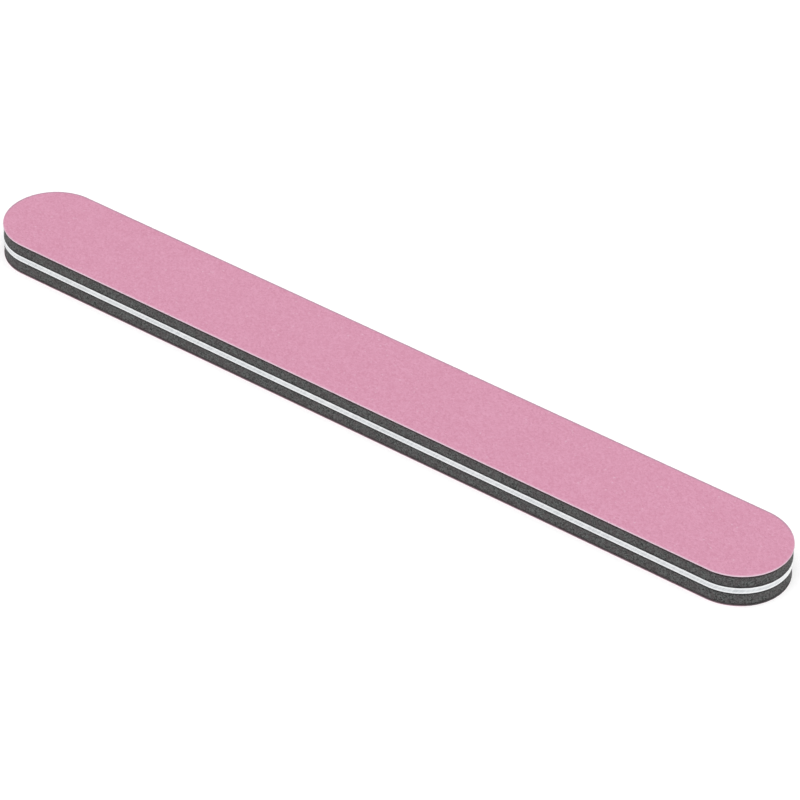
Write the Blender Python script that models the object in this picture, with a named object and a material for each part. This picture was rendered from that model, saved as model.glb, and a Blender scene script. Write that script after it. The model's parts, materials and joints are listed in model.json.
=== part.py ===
"""Cushioned nail buffer board, as one laminate of eleven die-cut layers.

A stiff plastic core strip lies in the middle. On each side of it come an adhesive film,
a soft foam cushion, a second adhesive film, the backing paper of an abrasive sheet, and
the abrasive coat on that paper. Every layer has the same outline: a long straight strip
whose two ends are full half circles.

Frame: X runs along the board, Y across it and Z up through the layers. The origin is the
centre of the lower abrasive face, on which the board rests. Lengths are in metres.
"""

import math

import bmesh
import bpy

# Outline
LENGTH = 0.178
WIDTH = 0.020
END_RADIUS = WIDTH / 2
END_SEGMENTS = 48

# Layer thicknesses, from an abrasive face in to the core
COAT_THICKNESS = 0.00010
PAPER_THICKNESS = 0.00015
ADHESIVE_THICKNESS = 0.00005
FOAM_THICKNESS = 0.0025
CORE_THICKNESS = 0.0012

# Free height left at each bond line, so that neighbouring solids never share a face
BOND_GAP = 0.00002

# Die-cutting leaves a fine chamfer round both faces of the stiff core
CORE_CHAMFER = 0.00004

# Edges bent by more than SHARP_ANGLE are drawn sharp; the chamfer takes those bent by more than RIM_ANGLE
SHARP_ANGLE = math.radians(40)
RIM_ANGLE = math.radians(60)

# Finish of each layer: colour as linear red, green and blue, roughness, metallic
FINISHES = {
    "abrasive_coat": ((0.63, 0.29, 0.41), 0.85, 0.0),
    "pale_paper": ((0.86, 0.70, 0.77), 0.85, 0.0),
    "maroon_paper": ((0.13, 0.060, 0.077), 0.85, 0.0),
    "adhesive": ((0.055, 0.042, 0.046), 0.35, 0.0),
    "foam": ((0.090, 0.090, 0.092), 0.95, 0.0),
    "core": ((0.84, 0.86, 0.88), 0.45, 0.0),
}

# The layers from the bottom up: name, thickness, finish
LAYERS = (
    ("bottom_abrasive_coat", COAT_THICKNESS, "abrasive_coat"),
    ("bottom_backing_paper", PAPER_THICKNESS, "maroon_paper"),
    ("bottom_paper_adhesive", ADHESIVE_THICKNESS, "adhesive"),
    ("bottom_foam_cushion", FOAM_THICKNESS, "foam"),
    ("bottom_core_adhesive", ADHESIVE_THICKNESS, "adhesive"),
    ("core_strip", CORE_THICKNESS, "core"),
    ("top_core_adhesive", ADHESIVE_THICKNESS, "adhesive"),
    ("top_foam_cushion", FOAM_THICKNESS, "foam"),
    ("top_paper_adhesive", ADHESIVE_THICKNESS, "adhesive"),
    ("top_backing_paper", PAPER_THICKNESS, "pale_paper"),
    ("top_abrasive_coat", COAT_THICKNESS, "abrasive_coat"),
)


def clear_scene():
    """Removes whatever the file holds, such as the startup objects."""
    for obj in list(bpy.data.objects):
        bpy.data.objects.remove(obj, do_unlink=True)


def make_material(name, colour, roughness, metallic):
    """A Principled material with one colour."""
    material = bpy.data.materials.new(name)
    material.use_nodes = True
    shader = material.node_tree.nodes["Principled BSDF"]
    shader.inputs["Base Color"].default_value = (*colour, 1.0)
    shader.inputs["Roughness"].default_value = roughness
    shader.inputs["Metallic"].default_value = metallic
    material.diffuse_color = (*colour, 1.0)
    return material


def outline():
    """The board's outline, anticlockwise: a half circle round each end, joined by straight sides."""
    end_centre = LENGTH / 2 - END_RADIUS
    points = []
    for centre_x, facing in ((end_centre, 0.0), (-end_centre, math.pi)):
        for step in range(END_SEGMENTS + 1):
            angle = facing + math.pi * (step / END_SEGMENTS - 0.5)
            x = centre_x + END_RADIUS * math.cos(angle)
            y = END_RADIUS * math.sin(angle)
            points.append((x, y))
    return points


def make_layer(name, bottom, thickness, material):
    """One layer: the outline filled at the layer's bottom height and extruded up."""
    shape = bmesh.new()
    corners = [shape.verts.new((x, y, 0.0)) for x, y in outline()]
    lower_face = shape.faces.new(corners)
    risen = bmesh.ops.extrude_face_region(shape, geom=[lower_face])
    upper_corners = [item for item in risen["geom"] if isinstance(item, bmesh.types.BMVert)]
    bmesh.ops.translate(shape, verts=upper_corners, vec=(0.0, 0.0, thickness))
    bmesh.ops.recalc_face_normals(shape, faces=shape.faces)
    mesh = bpy.data.meshes.new(name)
    shape.to_mesh(mesh)
    shape.free()
    mesh.materials.append(material)
    mesh.shade_smooth()
    mesh.set_sharp_from_angle(angle=SHARP_ANGLE)
    obj = bpy.data.objects.new(name, mesh)
    obj.location = (0.0, 0.0, bottom)
    bpy.context.scene.collection.objects.link(obj)
    return obj


def chamfer_rims(obj, width):
    """A small chamfer round the layer's upper and lower rims."""
    bevel = obj.modifiers.new("rim_chamfer", "BEVEL")
    bevel.width = width
    bevel.segments = 1
    bevel.limit_method = "ANGLE"
    bevel.angle_limit = RIM_ANGLE


def build_board():
    """Stacks the layers with a bond gap between neighbours, all parented to one empty."""
    board = bpy.data.objects.new("board", None)
    bpy.context.scene.collection.objects.link(board)
    bottom = 0.0
    for name, thickness, finish in LAYERS:
        material = make_material(name, *FINISHES[finish])
        layer = make_layer(name, bottom, thickness, material)
        layer.parent = board
        if finish == "core":
            chamfer_rims(layer, CORE_CHAMFER)
        bottom += thickness + BOND_GAP


clear_scene()
build_board()
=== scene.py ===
"""Looks of the cushioned nail buffer board: a fine mesh and a material for each of its eleven layers.

Every layer was cut by one die, so all pieces are built on the die's outline. It is described by a centre
line, the foot of each outline point on that line, and the outward direction there. The cut edge of each
layer then has its own profile: grain on the abrasive, frayed paper, open cells on the foam, saw marks on
the core. The die also squeezed the foam as it cut, which rolled the faces over along the cut edge.
Lengths are in metres, in the frame of the CAD.
"""

import json
import math

import bpy
import numpy as np
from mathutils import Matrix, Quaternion, Vector


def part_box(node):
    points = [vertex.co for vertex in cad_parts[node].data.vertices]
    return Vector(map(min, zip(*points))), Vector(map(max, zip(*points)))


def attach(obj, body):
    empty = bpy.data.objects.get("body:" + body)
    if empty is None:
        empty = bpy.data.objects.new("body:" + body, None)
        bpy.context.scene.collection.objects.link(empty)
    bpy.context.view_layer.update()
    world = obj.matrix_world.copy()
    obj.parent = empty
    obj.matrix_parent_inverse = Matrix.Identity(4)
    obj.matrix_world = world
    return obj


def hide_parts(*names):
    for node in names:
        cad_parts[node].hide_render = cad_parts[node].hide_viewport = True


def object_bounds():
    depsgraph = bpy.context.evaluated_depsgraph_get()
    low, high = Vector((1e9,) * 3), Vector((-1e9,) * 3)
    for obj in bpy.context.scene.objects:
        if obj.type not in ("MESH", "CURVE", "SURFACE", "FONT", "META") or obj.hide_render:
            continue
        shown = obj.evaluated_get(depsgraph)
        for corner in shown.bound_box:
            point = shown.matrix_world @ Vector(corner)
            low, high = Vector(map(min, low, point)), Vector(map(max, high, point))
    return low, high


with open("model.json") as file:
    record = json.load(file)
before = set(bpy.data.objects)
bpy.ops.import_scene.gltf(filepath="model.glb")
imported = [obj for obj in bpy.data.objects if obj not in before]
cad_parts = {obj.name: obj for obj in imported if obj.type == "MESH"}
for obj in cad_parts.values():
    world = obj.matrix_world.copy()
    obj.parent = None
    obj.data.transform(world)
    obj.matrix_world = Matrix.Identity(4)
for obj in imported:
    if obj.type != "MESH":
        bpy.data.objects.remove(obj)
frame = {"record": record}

MM = 0.001
cad_low, cad_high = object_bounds()

END_RADIUS = cad_high.y
END_CENTRE = cad_high.x - END_RADIUS
PERIMETER = 4 * END_CENTRE + 2 * math.pi * END_RADIUS

# Rolled-over rim: the faces sink by this much at the cut edge, and the foam's inner faces not at all
ROLL_WIDTH = 0.60 * MM
ROLL_DEPTH = 0.055 * MM
ROLL_RINGS = np.array([1.0, 0.75, 0.5, 0.25]) * ROLL_WIDTH
foam_low, foam_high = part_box("top_foam_cushion")
MIDDLE_HEIGHT = (cad_low.z + cad_high.z) / 2
FOAM_INNER = foam_low.z - MIDDLE_HEIGHT
FOAM_OUTER = foam_high.z - MIDDLE_HEIGHT

# Abrasive coat
GRAIN_ROWS = 92  # grains across the board, an even number
GRAIN_HEIGHT = 0.026 * MM
GRAIN_SCATTER = 0.34  # sideways, as a share of the distance between grains
SHARP_GRAIN = 0.75  # how much of the relief is single grains; the rest is broader swells
COAT_RIM = ((0.110, 0.000), (0.060, 0.012), (0.028, 0.036), (0.015, 0.100))  # inset and drop in mm
CHIP_DEPTH = 0.05 * MM
CHIP_SPACING = 2.4 * MM
CHIP_GAP = 0.25  # the part of the wander line, from 0 to 1, that leaves the rim whole
CHIP_FINE = 0.4  # fine unevenness of the rim sideways, as a share of the chips' depth
RIM_ROUGH = 0.5  # roughness of the rim upwards, as a share of the grain's height

# Lines along the coat's rim, both painted light: a greyish line of painted shade fades out over its width
# on the side that faces this way, away from the camera and the lights, and a pale line of painted
# highlight runs along the opposite side, which faces the camera and the lights
RIM_SHADE_SIDE = (-0.59, 0.81)
RIM_SHADE_WIDTH = 0.50 * MM
RIM_HIGHLIGHT_WIDTH = 0.13 * MM

# Foam
CELL_SIZE = 0.40 * MM
CELL_DEPTH = 0.085 * MM
CELL_REACH = 0.62  # radius of an opened cell, as a share of the cell size
CELL_SHALLOWEST = 0.35  # depth of the shallowest cell, as a share of the deepest
FOAM_STEP = 0.115 * MM
FOAM_WAIST = 0.07 * MM
FOAM_WAVE = 0.035 * MM
FOAM_WAVELENGTH = 9 * MM
SKIN_AND_SHADE_WIDTH = 0.29 * MM  # width of the foam beside a glue line that is squeezed back, smooth and darkened with painted shade
LOWER_SHADE = 0.5  # how dark the painted shade is along the lower paper, compared with the other glue lines
FOAM_FINE = 0.012 * MM
FOAM_SQUEEZE = 0.05 * MM

# The lower sheet's cut edge is black with foam dust round the right-hand tip: the dust starts where the X
# of the outward direction is the first number, and is full at the second
DUSTY_TIP = (0.60, 0.75)

# Core, paper and adhesive
CORE_STEP = 0.18 * MM
CORE_LEVELS = 13
CORE_ROUND = 0.045 * MM
CORE_WAVE = 0.012 * MM
CORE_WAVELENGTH = 14 * MM
CORE_GROOVE = 0.020 * MM
GROOVE_REACH = (0.72, 0.32)  # where the groove starts and is whole, from 0 at mid-edge to 1 at the rims
SAW_MARK = 0.010 * MM
SAW_SLANT = 0.76  # how far along the edge a saw mark leans for each unit of height
PAPER_STEP = 0.20 * MM
PAPER_FRAY = 0.018 * MM
PAPER_WAVE = 0.014 * MM
PAPER_WAVELENGTH = 6 * MM
FILM_STEP = 0.40 * MM
FILM_RECESS = 0.07 * MM
FILM_HOLLOW = 0.02 * MM
FILM_UNEVEN = 0.3  # how much the recess varies, as a share of it
FILM_WAVELENGTH = 3 * MM

# The core's sides are greyer than its ends: painted shade where less light falls. At either end the grey
# is gone at the first of these distances past the start of the arc, and whole at the second.
SIDE_SHADE_TO_RIGHT = (11.4 * MM, 5.4 * MM)
SIDE_SHADE_TO_LEFT = (3 * MM, -3 * MM)

# The core is painted whitest at its right-hand tip, as painted light: the X and the Y of the outward
# direction each have a share in it, which grows from 0 at the first number to 1 at the second
LIT_TIP_X = (0.0, 0.25)
LIT_TIP_Y = (-0.214, 0.5)
LIT_TIP_GROOVE = 0.9  # how much of the groove's grey is gone there

# The tiny tear that the die's holding tag leaves in the upper coat, on its far side; the paper shows in it
TAG_X = 13.1 * MM
TAG_HALF_WIDTH = 0.33 * MM
TAG_DEPTH = 0.36 * MM
TAG_BLEND = 4 * TAG_DEPTH  # the grain around the tear is pushed back this far in from the edge


# ---------------------------------------------------------------- outline and slabs


class Outline:
    """The die's outline in even steps, anticlockwise from the start of the right-hand arc.

    feet are the points' nearest points on the centre line and out the unit directions from there, so a
    point at any inset from the cut edge is foot + out * (END_RADIUS - inset). along is the distance run.
    """

    def __init__(self, arc_steps, side_steps):
        self.arc_steps = arc_steps
        half = math.pi / 2
        turn = np.linspace(-half, half, arc_steps + 1)
        run = np.linspace(END_CENTRE, -END_CENTRE, side_steps + 1)[1:-1]
        angles = [turn, np.full(len(run), half), turn + math.pi, np.full(len(run), 3 * half)]
        centres = [np.full(len(turn), END_CENTRE), run, np.full(len(turn), -END_CENTRE), -run]
        angle = np.concatenate(angles)
        self.out = np.stack([np.cos(angle), np.sin(angle)], 1)
        self.feet = np.stack([np.concatenate(centres), np.zeros(len(angle))], 1)
        self.count = len(angle)
        edge = self.feet + self.out * END_RADIUS
        lengths = np.linalg.norm(np.roll(edge, -1, 0) - edge, axis=1)
        self.along = np.concatenate([[0.0], np.cumsum(lengths)[:-1]])

    @classmethod
    def stepped(cls, step):
        """An outline with points about this far apart. Its arcs have an even number of steps."""
        arc_steps = 2 * round(math.pi * END_RADIUS / step / 2)
        return cls(arc_steps, round(2 * END_CENTRE / step))

    def ring(self, inset, height):
        """The outline's points pulled in by inset, which may differ from point to point."""
        reach = END_RADIUS - np.broadcast_to(inset, self.count)
        flat = self.feet + self.out * reach[:, None]
        return np.column_stack([flat, np.broadcast_to(height, self.count)])

    def rungs(self):
        """Faces over the whole outline, facing up: each joins a step to the one across the centre line."""
        first = self.arc_steps // 2
        near = np.arange(first, first + self.count // 2 + 1) % self.count
        far = (self.arc_steps - near) % self.count
        corners = zip(near[:-1], near[1:], far[1:], far[:-1])
        return [list(dict.fromkeys(int(c) for c in quad)) for quad in corners]


def band_faces(lower, upper):
    """Quads between two closed rings of vertex numbers, facing outwards when upper is the higher one."""
    after_lower = np.roll(lower, -1)
    after_upper = np.roll(upper, -1)
    return np.stack([lower, after_lower, after_upper, upper], 1).tolist()


def press(points):
    """Rolls the rim over: near the cut edge, points of the soft layers sink towards the core."""
    x, y, z = points.T
    inset = END_RADIUS - np.hypot(np.maximum(np.abs(x) - END_CENTRE, 0), y)
    nearness = ramp(inset, ROLL_WIDTH, 0)
    rise = z - MIDDLE_HEIGHT
    softness = ramp(np.abs(rise), FOAM_INNER, FOAM_OUTER)
    sunk = z - np.sign(rise) * ROLL_DEPTH * nearness**2 * softness
    return np.column_stack([x, y, sunk])


def ramp(value, start, end):
    """0 at start and beyond, 1 at end and beyond, and even in between."""
    return np.clip((value - start) / (end - start), 0, 1)


def add_mesh(name, points, faces, smooth=True):
    """A mesh object from its points and faces."""
    mesh = bpy.data.meshes.new(name)
    mesh.from_pydata(np.asarray(points).tolist(), [], faces)
    mesh.polygons.foreach_set("use_smooth", [smooth] * len(mesh.polygons))
    mesh.update()
    obj = bpy.data.objects.new(name, mesh)
    bpy.context.scene.collection.objects.link(obj)
    return obj


def add_values(obj, name, values):
    """Keeps one number for each vertex, which the material reads by name."""
    attribute = obj.data.attributes.new(name, "FLOAT", "POINT")
    attribute.data.foreach_set("value", np.asarray(values, np.float32).ravel())


def slab(name, outline, insets, heights, rolled_below=True, rolled_above=True, **values):
    """A closed slab whose cut edge is a stack of rings, from the bottom rim to the top rim.

    A face that is rolled over gets further rings over the width of the roll. values are numbers that the
    mesh keeps for each point of the cut edge, by name, and carries on over the faces.
    """
    below = len(ROLL_RINGS) if rolled_below else 0
    above = len(ROLL_RINGS) if rolled_above else 0
    insets = [*ROLL_RINGS[:below], *insets, *ROLL_RINGS[::-1][:above]]
    heights = np.pad(heights, (below, above), "edge")
    levels = len(heights)
    rings = [outline.ring(insets[i], heights[i]) for i in range(levels)]
    numbers = np.arange(levels * outline.count).reshape(levels, outline.count)
    faces = []
    for i in range(levels - 1):
        faces += band_faces(numbers[i], numbers[i + 1])
    rungs = outline.rungs()
    faces += [quad[::-1] for quad in rungs]
    last = int(numbers[-1][0])
    faces += [[corner + last for corner in quad] for quad in rungs]
    obj = add_mesh(name, press(np.concatenate(rings)), faces)
    add_values(obj, "along", np.tile(outline.along, levels))
    for key, value in values.items():
        add_values(obj, key, np.pad(value, ((below, above), (0, 0)), "edge"))
    return obj


# ---------------------------------------------------------------- irregularity


def dusty(out_x):
    """How black with foam dust the lower sheet is, where the cut edge faces out with this much of X."""
    return ramp(out_x, *DUSTY_TIP)


def wander(along, wavelength, rng, octaves=3):
    """A smooth random line round the outline, about -1 to 1, that closes on itself."""
    total = np.zeros_like(along)
    weight = 0.0
    for octave in range(octaves):
        cycles = max(1, round(PERIMETER / wavelength)) * 2**octave
        for harmonic in (cycles, cycles + max(1, cycles // 3), cycles + max(1, cycles // 2)):
            phase = rng.uniform(0, 2 * math.pi)
            total += np.sin(2 * math.pi * harmonic * along / PERIMETER + phase) / 2**octave
            weight += 1 / 2**octave
    return 2 * total / weight


def grain(rng, shape, spread=1):
    """Random numbers from 0 to 1, each averaged with its neighbours this many times."""
    values = rng.random(shape)
    for _ in range(spread):
        for axis in range(len(shape)):
            values = (values + 0.5 * (np.roll(values, 1, axis) + np.roll(values, -1, axis))) / 2
    low, high = values.min(), values.max()
    return (values - low) / (high - low)


def cells(along, height, size, rng):
    """Distance to the nearest cell centre, as a share of the cell size, and that cell's own random number.

    The centres stand on a scattered lattice over the unrolled wall, and the wall closes on itself.
    """
    across = max(1, round(PERIMETER / size))
    rows = int(math.ceil(float(height.max() - height.min()) / size)) + 3
    shift = rng.uniform(-0.5, 0.5, (across, rows, 2))
    own = rng.random((across, rows))
    u = along / PERIMETER * across
    v = (height - height.min()) / size + 1
    column, row = np.floor(u).astype(int), np.floor(v).astype(int)
    nearest = np.full(u.shape, 9.0)
    number = np.zeros(u.shape)
    for i in (-1, 0, 1):
        for j in (-1, 0, 1):
            c, r = (column + i) % across, np.clip(row + j, 0, rows - 1)
            du = column + i + 0.5 + shift[c, r, 0] - u
            dv = row + j + 0.5 + shift[c, r, 1] - v
            distance = np.hypot(du, dv)
            closer = distance < nearest
            nearest = np.where(closer, distance, nearest)
            number = np.where(closer, own[c, r], number)
    return nearest, number


# ---------------------------------------------------------------- pieces


def tag_tear(x, y):
    """How far the tear at the tag pulls these points in from the far edge."""
    beside = np.clip(1 - ((x - TAG_X) / TAG_HALF_WIDTH) ** 2, 0, 1)
    nearness = ramp(END_RADIUS - y, TAG_BLEND, 0)
    return TAG_DEPTH * beside * nearness


def grain_grid(radius):
    """Points over the whole face in one grid, whose border runs round the outline at this radius.

    The straight part is a plain grid. Each end is half a square of grid, pushed out to half a disc so
    that the cells keep their area.
    """
    half_rows = GRAIN_ROWS // 2
    across = np.linspace(-1, 1, GRAIN_ROWS + 1)
    straight_steps = round(2 * END_CENTRE / (2 * radius / GRAIN_ROWS))
    run = np.linspace(-END_CENTRE, END_CENTRE, straight_steps + 1)
    x, y = np.meshgrid(run, across * radius, indexing="ij")
    u, v = np.meshgrid(np.linspace(0, 1, half_rows + 1)[1:], across, indexing="ij")
    r = np.maximum(u, np.abs(v))
    quarter = math.pi / 4
    steep = np.abs(v) > u
    small = 1e-12
    turn = np.where(
        steep,
        np.sign(v) * (2 * quarter - quarter * u / np.maximum(np.abs(v), small)),
        quarter * v / np.maximum(u, small),
    )
    end_x, end_y = radius * r * np.cos(turn), radius * r * np.sin(turn)
    x = np.concatenate([-END_CENTRE - end_x[::-1], x, END_CENTRE + end_x])
    y = np.concatenate([end_y[::-1], y, end_y])
    return x, y, straight_steps


def abrasive_coat(name, node, facing, tag, seed):
    """The grain side of an abrasive sheet: a field of facets over the face and a chipped, rounded rim,
    with painted shade along the far side of the rim and a painted highlight along its near side.
    """
    rng = np.random.default_rng(seed)
    low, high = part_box(node)
    thickness = high.z - low.z
    x, y, straight_steps = grain_grid(END_RADIUS - COAT_RIM[0][0] * MM)
    columns, rows = x.shape
    pitch = 2 * END_RADIUS / GRAIN_ROWS
    inner = np.zeros(x.shape)
    inner[1:-1, 1:-1] = 1
    x = x + inner * rng.uniform(-GRAIN_SCATTER, GRAIN_SCATTER, x.shape) * pitch
    y = y + inner * rng.uniform(-GRAIN_SCATTER, GRAIN_SCATTER, x.shape) * pitch
    grains = SHARP_GRAIN * grain(rng, x.shape, 0) + (1 - SHARP_GRAIN) * grain(rng, x.shape, 3)
    z = thickness - GRAIN_HEIGHT * grains
    numbers = np.arange(columns * rows).reshape(columns, rows)
    quads = np.stack([numbers[:-1, :-1], numbers[1:, :-1], numbers[1:, 1:], numbers[:-1, 1:]], -1)
    faces = quads.reshape(-1, 4).tolist()
    points = [np.column_stack([x.ravel(), y.ravel(), z.ravel()])]

    outline = Outline(2 * GRAIN_ROWS, straight_steps)
    half_rows = GRAIN_ROWS // 2
    lower_side, right_side = numbers[:, 0], numbers[-1, :]
    upper_side, left_side = numbers[::-1, -1], numbers[0, ::-1]
    border = np.concatenate([lower_side[:-1], right_side[:-1], upper_side[:-1], left_side[:-1]])
    border = np.roll(border, -(straight_steps + half_rows))
    chips = CHIP_DEPTH * np.clip(wander(outline.along, CHIP_SPACING, rng) - CHIP_GAP, 0, 1)
    chips = chips + CHIP_FINE * CHIP_DEPTH * grain(rng, (outline.count,), 0)
    rim_rings = [(inset * MM + chips, drop * MM) for inset, drop in COAT_RIM[1:]]
    rim_rings += [(inset, thickness) for inset in ROLL_RINGS[::-1]]
    above, first = border, columns * rows
    for inset, drop in rim_rings:
        rough = GRAIN_HEIGHT * RIM_ROUGH * rng.random(outline.count) if drop < thickness else 0.0
        points.append(outline.ring(inset, np.clip(thickness - drop - rough, 0, thickness)))
        ring = np.arange(first, first + outline.count)
        faces += band_faces(ring, above)
        above, first = ring, first + outline.count
    faces += [[corner + int(above[0]) for corner in quad[::-1]] for quad in outline.rungs()]

    points = np.concatenate(points)
    if tag:
        points[:, 1] -= tag_tear(points[:, 0], points[:, 1])
    from_line = points[:, :2].copy()
    from_line[:, 0] -= np.clip(points[:, 0], -END_CENTRE, END_CENTRE)
    off_centre = np.linalg.norm(from_line, axis=1)
    out = from_line / off_centre.clip(END_RADIUS / 2)[:, None]
    inset = END_RADIUS - off_centre
    far = ramp(out @ RIM_SHADE_SIDE, 0, 0.5)
    # painted shade: the rim on the side that faces away from the camera and the lights is greyed
    rim_shade = far * ramp(inset, RIM_SHADE_WIDTH, 0.6 * RIM_SHADE_WIDTH)
    # painted highlight: the rim on the side that faces the camera and the lights is paled
    rim_highlight = (1 - far) * ramp(inset, RIM_HIGHLIGHT_WIDTH, RIM_HIGHLIGHT_WIDTH / 3)
    dust = rim_highlight * dusty(out[:, 0]) if facing < 0 else np.zeros(len(points))
    if facing > 0:
        points[:, 2] += low.z
    else:
        points[:, 2] = high.z - points[:, 2]
        faces = [face[::-1] for face in faces]
    obj = add_mesh(name, press(points), faces, smooth=False)
    add_values(obj, "rim_shade", rim_shade)
    add_values(obj, "rim_highlight", rim_highlight)
    add_values(obj, "dust", dust)
    return finish_piece(obj, node)


def foam_cushion(name, node, seed):
    """A slab of foam, whose cut wall is slightly waisted and full of opened cells."""
    rng = np.random.default_rng(seed)
    low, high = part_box(node)
    outline = Outline.stepped(FOAM_STEP)
    steps = round((high.z - low.z) / FOAM_STEP)
    share = np.linspace(0, 1, steps + 1)
    along, height = np.meshgrid(outline.along, low.z + share * (high.z - low.z))
    distance, own = cells(along, height, CELL_SIZE, rng)
    to_rim = np.minimum(height - low.z, high.z - height)
    skin = np.exp(-((to_rim / SKIN_AND_SHADE_WIDTH) ** 4))
    depth = CELL_SHALLOWEST + (1 - CELL_SHALLOWEST) * own
    pits = np.clip(1 - (distance / CELL_REACH) ** 2, 0, 1) * depth * (1 - skin)
    bow = FOAM_WAIST * (1 - (2 * share - 1) ** 2)
    wave = FOAM_WAVE * (1 + wander(outline.along, FOAM_WAVELENGTH, rng)) / 2
    fine = FOAM_FINE * rng.random(pits.shape)
    inset = bow[:, None] + wave[None, :] + CELL_DEPTH * pits + fine + FOAM_SQUEEZE * skin
    upper = low.z > MIDDLE_HEIGHT
    outer = np.abs(height - MIDDLE_HEIGHT) > (FOAM_INNER + FOAM_OUTER) / 2
    dust = np.zeros(outline.count) if upper else dusty(outline.out[:, 0])
    # the painted shade beside the glue lines is weaker along the lower paper, except where the dust is
    if not upper:
        skin = skin * np.where(outer, LOWER_SHADE + (1 - LOWER_SHADE) * dust, 1.0)
    # painted shade with a reddish cast on the foam beside the paper, except where the dust is
    stain = skin * outer * (1 - dust)
    # the pit depth, the darkening beside the glue lines and the reddish cast are kept for the material,
    # which paints them as shade
    obj = slab(name, outline, inset, height[:, 0], not upper, upper, pit=pits, skin=skin, stain=stain)
    return finish_piece(obj, node)


def core_strip(name, node, seed):
    """The stiff core: rounded rims, fine saw marks, and a shallow duller groove along its middle."""
    rng = np.random.default_rng(seed)
    low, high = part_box(node)
    outline = Outline.stepped(CORE_STEP)
    corner = np.linspace(0, math.pi / 2, 4)
    heights = np.concatenate([
        low.z + CORE_ROUND * (1 - np.cos(corner)),
        np.linspace(low.z + CORE_ROUND, high.z - CORE_ROUND, CORE_LEVELS)[1:-1],
        high.z - CORE_ROUND * (1 - np.cos(corner[::-1])),
    ])
    rounding = np.zeros(len(heights))
    rounding[: len(corner)] = CORE_ROUND * (1 - np.sin(corner))
    rounding[-len(corner) :] = rounding[: len(corner)][::-1]
    off_middle = np.abs(2 * (heights - low.z) / (high.z - low.z) - 1)
    middle = ramp(off_middle, *GROOVE_REACH)[:, None] * np.ones(outline.count)
    marks = grain(rng, (len(heights), outline.count), 1)
    wave = CORE_WAVE * (1 + wander(outline.along, CORE_WAVELENGTH, rng)) / 2
    inset = rounding[:, None] + wave[None, :] + SAW_MARK * marks + CORE_GROOVE * middle
    edge_x = outline.feet[:, 0] + outline.out[:, 0] * END_RADIUS
    past_start = np.abs(edge_x) - END_CENTRE
    # painted shade: the core's long sides are greyed, fading out round the ends
    side = np.where(edge_x > 0, ramp(past_start, *SIDE_SHADE_TO_RIGHT), ramp(past_start, *SIDE_SHADE_TO_LEFT))
    # painted light: the right-hand tip, which faces the side light, is whitened
    lit_tip = ramp(outline.out[:, 0], *LIT_TIP_X) * ramp(outline.out[:, 1], *LIT_TIP_Y)
    tones = {
        "middle": middle * (1 - LIT_TIP_GROOVE * lit_tip),
        "side": np.tile(side, (len(heights), 1)),
        "lit_tip": np.tile(lit_tip, (len(heights), 1)),
    }
    obj = slab(name, outline, inset, heights, rolled_below=False, rolled_above=False, **tones)
    return finish_piece(obj, node)


def backing_paper(name, node, seed):
    """The abrasive sheet's paper, whose cut edge is a little frayed."""
    rng = np.random.default_rng(seed)
    low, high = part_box(node)
    outline = Outline.stepped(PAPER_STEP)
    share = np.linspace(0, 1, 5)
    fray = PAPER_FRAY * rng.random((len(share), outline.count))
    wave = PAPER_WAVE * (1 + wander(outline.along, PAPER_WAVELENGTH, rng)) / 2
    lower = high.z < MIDDLE_HEIGHT
    dust = dusty(outline.out[:, 0]) if lower else np.zeros(outline.count)
    dust = np.tile(dust, (len(share), 1))
    obj = slab(name, outline, wave + fray, low.z + share * (high.z - low.z), dust=dust)
    return finish_piece(obj, node)


def adhesive_film(name, node, seed):
    """A film of adhesive, squeezed back from the cut edge by an uneven hair."""
    rng = np.random.default_rng(seed)
    low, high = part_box(node)
    outline = Outline.stepped(FILM_STEP)
    share = np.linspace(0, 1, 4)
    meniscus = FILM_HOLLOW * (1 - (2 * share - 1) ** 2)
    edge = FILM_RECESS * (1 + FILM_UNEVEN * wander(outline.along, FILM_WAVELENGTH, rng))
    inset = edge[None, :] + meniscus[:, None]
    obj = slab(name, outline, inset, low.z + share * (high.z - low.z))
    return finish_piece(obj, node)


def finish_piece(obj, node):
    """Puts the piece in the CAD node's place, with that node's material slot and body."""
    slots = {part["node"]: part["material_slot"] for part in frame["record"]["subparts"]}
    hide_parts(node)
    obj.data.materials.append(MATERIALS[slots[node]])
    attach(obj, "root")
    return obj


# ---------------------------------------------------------------- materials


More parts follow.
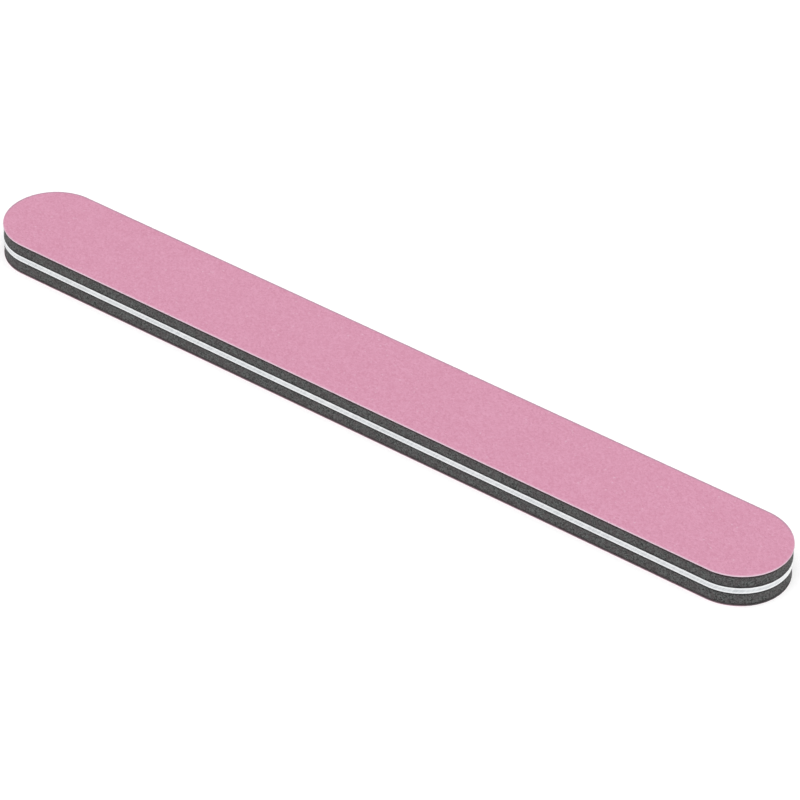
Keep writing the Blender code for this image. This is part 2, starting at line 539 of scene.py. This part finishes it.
class Shader:
    """A Principled material and short calls that add nodes to it."""

    def __init__(self, name):
        self.material = bpy.data.materials.new(name)
        self.material.use_nodes = True
        self.tree = self.material.node_tree
        self.principled = self.tree.nodes["Principled BSDF"]
        self.place = self.add("ShaderNodeTexCoord").outputs["Object"]

    def add(self, kind, **settings):
        node = self.tree.nodes.new(kind)
        for key, value in settings.items():
            setattr(node, key, value)
        return node

    def put(self, socket, value):
        """Links the socket to another socket, or sets it to a constant."""
        if isinstance(value, bpy.types.NodeSocket):
            self.tree.links.new(value, socket)
        elif isinstance(value, tuple) and len(value) == 3 and socket.type == "RGBA":
            socket.default_value = (*value, 1.0)
        else:
            socket.default_value = value

    def set(self, **values):
        """Sets the Principled shader's inputs; a name's underscores stand for spaces."""
        for key, value in values.items():
            self.put(self.principled.inputs[key.replace("_", " ")], value)

    def value(self, name):
        """A number that the mesh keeps for each vertex."""
        return self.add("ShaderNodeAttribute", attribute_name=name).outputs["Fac"]

    def noise(self, size, detail=2.0, roughness=0.5, place=None):
        """Soft noise whose blobs are about this many metres across."""
        node = self.add("ShaderNodeTexNoise")
        self.put(node.inputs["Vector"], place or self.place)
        self.put(node.inputs["Scale"], 1.0 / size)
        self.put(node.inputs["Detail"], detail)
        self.put(node.inputs["Roughness"], roughness)
        return node.outputs["Fac"]

    def crystals(self, size):
        """A random number for each cell, of about this many metres, and the distance to its centre."""
        node = self.add("ShaderNodeTexVoronoi")
        self.put(node.inputs["Vector"], self.place)
        self.put(node.inputs["Scale"], 1.0 / size)
        split = self.add("ShaderNodeSeparateColor")
        self.put(split.inputs["Color"], node.outputs["Color"])
        return split.outputs["Red"], node.outputs["Distance"]

    def stretch(self, along, across, slant=0.0):
        """Places on the unrolled cut edge, for a pattern drawn out by these sizes and leaning by slant."""
        split = self.add("ShaderNodeSeparateXYZ")
        self.put(split.inputs[0], self.place)
        height = split.outputs["Z"]
        leaning = self.sum(self.value("along"), self.times(height, -slant))
        node = self.add("ShaderNodeCombineXYZ")
        self.put(node.inputs["X"], self.times(leaning, 1 / along))
        self.put(node.inputs["Y"], self.times(height, 1 / across))
        return node.outputs[0]

    def sum(self, a, b):
        return self.calculate("ADD", a, b)

    def times(self, a, b):
        return self.calculate("MULTIPLY", a, b)

    def calculate(self, operation, a, b):
        node = self.add("ShaderNodeMath", operation=operation)
        self.put(node.inputs[0], a)
        self.put(node.inputs[1], b)
        return node.outputs[0]

    def span(self, value, low, high, to_low=0.0, to_high=1.0):
        """Carries value from one range to another, without leaving the second."""
        node = self.add("ShaderNodeMapRange", clamp=True)
        limits = {"From Min": low, "From Max": high, "To Min": to_low, "To Max": to_high}
        self.put(node.inputs["Value"], value)
        for key, limit in limits.items():
            self.put(node.inputs[key], limit)
        return node.outputs["Result"]

    def blend(self, share, first, second):
        """Two colours mixed by share."""
        node = self.add("ShaderNodeMix", data_type="RGBA")
        colour_a, colour_b, colour_out = node.inputs[6], node.inputs[7], node.outputs[2]
        self.put(node.inputs["Factor"], share)
        self.put(colour_a, first)
        self.put(colour_b, second)
        return colour_out

    def bump(self, height, depth, below=None):
        """Turns height, from 0 to 1, into a relief this many metres deep."""
        node = self.add("ShaderNodeBump")
        self.put(node.inputs["Height"], height)
        self.put(node.inputs["Distance"], depth)
        if below is not None:
            self.put(node.inputs["Normal"], below)
        return node.outputs["Normal"]


def abrasive_material(name):
    """Coloured resin packed with fine grains: mottled and matt, with a painted glint on a few scattered
    crystals.
    """
    s = Shader(name)
    grains, off_middle = s.crystals(COARSE_GRAIN)
    powder, powder_off_middle = s.crystals(FINE_GRAIN)
    clumps = s.noise(GRAIN_CLUMP, 2.0)
    clouds = s.noise(RESIN_CLOUD, 2.0)
    fine = s.sum(s.times(grains, 0.38), s.times(powder, 0.17))
    tone = s.sum(fine, s.sum(s.times(clumps, 0.35), s.times(clouds, 0.10)))
    colour = s.blend(s.span(tone, 0.225, 0.775), DEEP_PINK, PALE_PINK)
    # painted glints: a few scattered crystals are paled as if catching the light
    glint_cells, _ = s.crystals(GLINT_SPECK)
    colour = s.blend(s.span(glint_cells, 0.988, 0.9995, 0.0, 0.42), colour, PAINTED_GLINT)
    # painted shade along the far rim
    colour = s.blend(s.times(s.value("rim_shade"), 0.60), colour, RIM_SHADE_PINK)
    # painted highlight along the near rim
    colour = s.blend(s.times(s.value("rim_highlight"), 0.85), colour, RIM_HIGHLIGHT_PINK)
    colour = s.blend(s.value("dust"), colour, FOAM_DUST)
    relief = s.sum(s.times(off_middle, -1.0), s.times(powder_off_middle, -0.35))
    s.set(
        Base_Color=colour,
        Roughness=s.span(grains, 0.0, 1.0, 0.62, 0.86),
        Specular_IOR_Level=0.35,
        Normal=s.bump(relief, GRAIN_RELIEF),
    )
    return s.material


def paper_material(name, dark, light):
    """Fibrous paper in two tones, stained here and there with the darker one."""
    s = Shader(name)
    fibres = s.noise(1.0, 3.0, 0.65, s.stretch(*FIBRE))
    stain = s.noise(PAPER_STAIN, 2.0)
    colour = s.blend(s.span(fibres, 0.3, 0.7), dark, light)
    colour = s.blend(s.span(stain, 0.45, 0.75, 0.0, 0.35), colour, dark)
    colour = s.blend(s.value("dust"), colour, FOAM_DUST)
    s.set(
        Base_Color=colour,
        Roughness=s.span(fibres, 0.0, 1.0, 0.78, 0.95),
        Specular_IOR_Level=0.3,
        Normal=s.bump(fibres, FIBRE_RELIEF),
    )
    return s.material


def foam_material(name):
    """Charcoal closed-cell foam: mottled, with painted shade in the opened cells and a painted highlight
    on the cell walls, and darkest beside the glue lines, where shade is painted, with a reddish cast
    beside the paper.
    """
    s = Shader(name)
    speckle = s.noise(FOAM_SPECKLE, 3.0, 0.62)
    flecks, off_middle = s.crystals(FOAM_FLECK)
    tone = s.sum(s.times(speckle, 0.65), s.times(flecks, 0.35))
    colour = s.blend(s.span(tone, 0.405, 0.595), FOAM_DARK, FOAM_LIGHT)
    # painted highlight on the cell walls
    colour = s.blend(s.span(off_middle, 0.38, 0.60, 0.0, 0.45), colour, FOAM_WALL_HIGHLIGHT)
    hue = s.noise(FOAM_HUE, 2.0)
    colour = s.blend(s.span(hue, 0.40, 0.60, 0.0, 0.5), colour, FOAM_WARM)
    # painted shade in the opened cells, by their depth
    colour = s.blend(s.span(s.value("pit"), 0.25, 0.95, 0.0, 0.45), colour, FOAM_PIT_SHADE)
    # painted shade beside the glue lines
    colour = s.blend(s.times(s.value("skin"), 0.85), colour, FOAM_GLUE_LINE_SHADE)
    # painted shade with a reddish cast beside the paper
    colour = s.blend(s.times(s.value("stain"), 0.90), colour, FOAM_RED_SHADE)
    s.set(
        Base_Color=colour,
        Roughness=s.span(speckle, 0.3, 0.7, 0.80, 0.96),
        Specular_IOR_Level=0.3,
        Sheen_Weight=0.08,
        Sheen_Roughness=0.5,
        Normal=s.bump(s.sum(off_middle, s.times(speckle, 0.5)), FOAM_RELIEF),
    )
    return s.material


def core_material(name):
    """White polystyrene with slanting saw marks, greyer in the groove and along the board's sides, where
    the grey is painted shade, and painted whiter at the right-hand tip as painted light.
    """
    s = Shader(name)
    marks = s.noise(1.0, 2.0, 0.5, s.stretch(*SAW_STREAK, SAW_SLANT))
    stains = s.noise(CORE_STAIN, 2.0)
    dull = s.times(s.value("middle"), s.span(marks, 0.35, 0.65, 0.65, 1.0))
    # painted shade along the board's sides
    side = s.times(s.value("side"), s.span(marks, 0.35, 0.65, 0.10, 0.30))
    groove_grey_and_side_shade = s.sum(s.times(dull, 0.68), s.times(side, s.span(stains, 0.3, 0.7, 0.5, 1.0)))
    colour = s.blend(groove_grey_and_side_shade, CORE_WHITE, CORE_GREY)
    s.set(
        # painted light on the right-hand tip
        Base_Color=s.blend(s.value("lit_tip"), colour, CORE_PAINTED_LIGHT),
        Roughness=s.span(marks, 0.3, 0.7, 0.30, 0.46),
        Specular_IOR_Level=0.5,
        Normal=s.bump(marks, SAW_RELIEF),
    )
    return s.material


def film_material(name):
    """Adhesive film, painted dark with a maroon cast as the shade in its recess between the layers."""
    s = Shader(name)
    smears = s.noise(FILM_SMEAR, 3.0, 0.6)
    s.set(
        Base_Color=s.blend(s.span(smears, 0.3, 0.7), FILM_DARK, FILM_LIGHT),
        Roughness=s.span(smears, 0.3, 0.7, 0.28, 0.45),
        Normal=s.bump(smears, SMEAR_RELIEF),
    )
    return s.material


def floor_material():
    """The top of a light table: matt, nearly white, and glowing a little."""
    s = Shader("studio_floor")
    drift = s.noise(TABLE_DRIFT, 2.0)
    s.set(
        Base_Color=s.blend(drift, TABLE_DARK, TABLE_LIGHT),
        Roughness=0.9,
        Specular_IOR_Level=0.1,
        Emission_Color=WHITE,
        Emission_Strength=TABLE_GLOW,
    )
    return s.material


# Sizes of the patterns on the surfaces; a pair is along the cut edge and up it
COARSE_GRAIN = 0.30 * MM
FINE_GRAIN = 0.13 * MM
GRAIN_CLUMP = 0.50 * MM
RESIN_CLOUD = 6 * MM
GLINT_SPECK = 0.28 * MM
FIBRE = (0.35 * MM, 0.05 * MM)
PAPER_STAIN = 2.2 * MM
FOAM_SPECKLE = 0.30 * MM
FOAM_FLECK = 0.24 * MM
FOAM_HUE = 0.8 * MM
SAW_STREAK = (0.30 * MM, 2.5 * MM)
CORE_STAIN = 5 * MM
FILM_SMEAR = 0.9 * MM
TABLE_DRIFT = 0.6

# Depths of the fine relief that the materials add to the meshes
GRAIN_RELIEF = 0.070 * MM
FIBRE_RELIEF = 0.010 * MM
FOAM_RELIEF = 0.060 * MM
SAW_RELIEF = 0.006 * MM
SMEAR_RELIEF = 0.006 * MM

# Colours, as linear red, green and blue
WHITE = (1.0, 1.0, 1.0)
TABLE_DARK, TABLE_LIGHT = (0.63, 0.63, 0.63), (0.65, 0.65, 0.65)
DEEP_PINK, PALE_PINK = (0.637, 0.258, 0.380), (0.757, 0.369, 0.512)
# painted shade of the coat's far rim
RIM_SHADE_PINK = (0.370, 0.245, 0.310)
# painted highlight of the coat's near rim
RIM_HIGHLIGHT_PINK = (0.74, 0.51, 0.62)
# painted glint on a few crystals
PAINTED_GLINT = (0.85, 0.62, 0.72)
PAPER_DARK, PAPER_LIGHT = (0.72, 0.50, 0.60), (0.92, 0.76, 0.83)
# the paper's pink darkened as painted shade, for the lower paper's edge under the board
SHADED_PAPER_DARK, SHADED_PAPER_LIGHT = (0.135, 0.092, 0.104), (0.240, 0.170, 0.187)
FOAM_DARK, FOAM_LIGHT = (0.004, 0.006, 0.005), (0.112, 0.119, 0.116)
# painted highlight on the foam's cell walls
FOAM_WALL_HIGHLIGHT = (0.128, 0.131, 0.129)
FOAM_WARM = (0.076, 0.058, 0.062)
# painted shade in the foam's opened cells
FOAM_PIT_SHADE = (0.026, 0.025, 0.026)
# painted shade beside the glue lines
FOAM_GLUE_LINE_SHADE = (0.012, 0.011, 0.012)
# painted reddish shade beside the paper
FOAM_RED_SHADE = (0.030, 0.008, 0.014)
FOAM_DUST = (0.078, 0.076, 0.077)
CORE_WHITE, CORE_GREY = (0.92, 0.93, 0.945), (0.52, 0.543, 0.563)
# painted light on the core's right-hand tip
CORE_PAINTED_LIGHT = (0.97, 0.97, 0.97)
# painted shade: the adhesive film is coloured as dark as its shaded recess
FILM_DARK, FILM_LIGHT = (0.040, 0.030, 0.034), (0.075, 0.058, 0.064)
TABLE_GLOW = 0.45

MATERIALS = {
    "top_abrasive_grain": abrasive_material("top_abrasive_grain"),
    "bottom_abrasive_grain": abrasive_material("bottom_abrasive_grain"),
    "top_paper": paper_material("top_paper", PAPER_DARK, PAPER_LIGHT),
    # the lower paper gets the darker tones: painted shade
    "bottom_paper": paper_material("bottom_paper", SHADED_PAPER_DARK, SHADED_PAPER_LIGHT),
    "adhesive_film": film_material("adhesive_film"),
    "foam": foam_material("foam"),
    "core_plastic": core_material("core_plastic"),
}


# ---------------------------------------------------------------- studio

CAMERA_AZIMUTH = math.radians(36.24)
CAMERA_ELEVATION = math.radians(37.60)
CAMERA_ROLL = math.radians(1.29)
CAMERA_DISTANCE = 0.802
CAMERA_LENS_MM = 193.8
AIM_RIGHT = 0.00368
AIM_UP = 0.00066
HORIZON_GLOW = 1.0
SKY_GLOW = 0.45
SKY_START = 0.5  # sine of the elevation from which the surround has its plain sky brightness
FLOOR_GAP = 0.02 * MM
FLOOR_REACH = 8.0


def towards(azimuth, elevation):
    """The unit direction from the object to a viewer; azimuth 0 is on the -Y side and 90 degrees on +X."""
    level = math.cos(elevation)
    return Vector((math.sin(azimuth) * level, -math.cos(azimuth) * level, math.sin(elevation)))


def add_camera():
    """The camera, tilted by a degree and aimed a little beside the board's centre for the framing."""
    back = towards(CAMERA_AZIMUTH, CAMERA_ELEVATION)
    right = Vector((math.cos(CAMERA_AZIMUTH), math.sin(CAMERA_AZIMUTH), 0.0))
    up = back.cross(right)
    place = back * CAMERA_DISTANCE
    aim = right * AIM_RIGHT + up * AIM_UP
    camera = bpy.data.objects.new("camera", bpy.data.cameras.new("camera"))
    camera.data.lens = CAMERA_LENS_MM
    camera.data.sensor_width = 36.0
    camera.data.clip_start, camera.data.clip_end = 0.01, 20.0
    camera.location = place
    camera.rotation_mode = "QUATERNION"
    level = (aim - place).to_track_quat("-Z", "Y")
    camera.rotation_quaternion = level @ Quaternion((0.0, 0.0, 1.0), CAMERA_ROLL)
    bpy.context.scene.collection.objects.link(camera)
    bpy.context.scene.camera = camera


def add_soft_light(name, azimuth, elevation, width, strength):
    """A distant softbox that looks this many degrees wide from the board."""
    lamp = bpy.data.lights.new(name, "SUN")
    lamp.angle = math.radians(width)
    lamp.energy = strength
    light = bpy.data.objects.new(name, lamp)
    back = towards(math.radians(azimuth), math.radians(elevation))
    light.rotation_mode = "QUATERNION"
    light.rotation_quaternion = (-back).to_track_quat("-Z", "Y")
    bpy.context.scene.collection.objects.link(light)


def add_surround():
    """A white studio all round, bright at the horizon, where it meets the table, and softer overhead."""
    world = bpy.data.worlds.new("surround")
    bpy.context.scene.world = world
    world.use_nodes = True
    nodes, links = world.node_tree.nodes, world.node_tree.links
    direction = nodes.new("ShaderNodeTexCoord")
    split = nodes.new("ShaderNodeSeparateXYZ")
    glow = nodes.new("ShaderNodeMapRange")
    glow.inputs["From Max"].default_value = SKY_START
    glow.inputs["To Min"].default_value = HORIZON_GLOW
    glow.inputs["To Max"].default_value = SKY_GLOW
    links.new(direction.outputs["Generated"], split.inputs[0])
    links.new(split.outputs["Z"], glow.inputs["Value"])
    links.new(glow.outputs["Result"], nodes["Background"].inputs["Strength"])
    nodes["Background"].inputs["Color"].default_value = (*WHITE, 1.0)


def add_studio():
    """A wide light table just under the board, a bright surround and two soft lights."""
    corners = [(x * FLOOR_REACH, y * FLOOR_REACH, 0) for x, y in ((-1, -1), (1, -1), (1, 1), (-1, 1))]
    floor = add_mesh("studio_floor", corners, [[0, 1, 2, 3]])
    floor.location.z = cad_low.z - FLOOR_GAP
    floor.data.materials.append(floor_material())
    add_surround()
    add_soft_light("key_light", azimuth=30, elevation=70, width=60, strength=1.70)
    add_soft_light("side_light", azimuth=100, elevation=30, width=50, strength=0.15)
    bpy.context.scene.view_settings.view_transform = "Standard"


def build_board():
    """The eleven layers, from the bottom up."""
    abrasive_coat("bottom_abrasive_coat_fine", "bottom_abrasive_coat", facing=-1, tag=False, seed=11)
    backing_paper("bottom_backing_paper_fine", "bottom_backing_paper", seed=12)
    adhesive_film("bottom_paper_adhesive_fine", "bottom_paper_adhesive", seed=13)
    foam_cushion("bottom_foam_cushion_fine", "bottom_foam_cushion", seed=14)
    adhesive_film("bottom_core_adhesive_fine", "bottom_core_adhesive", seed=15)
    core_strip("core_strip_fine", "core_strip", seed=16)
    adhesive_film("top_core_adhesive_fine", "top_core_adhesive", seed=17)
    foam_cushion("top_foam_cushion_fine", "top_foam_cushion", seed=18)
    adhesive_film("top_paper_adhesive_fine", "top_paper_adhesive", seed=19)
    backing_paper("top_backing_paper_fine", "top_backing_paper", seed=20)
    abrasive_coat("top_abrasive_coat_fine", "top_abrasive_coat", facing=1, tag=True, seed=21)


build_board()
add_camera()
add_studio()
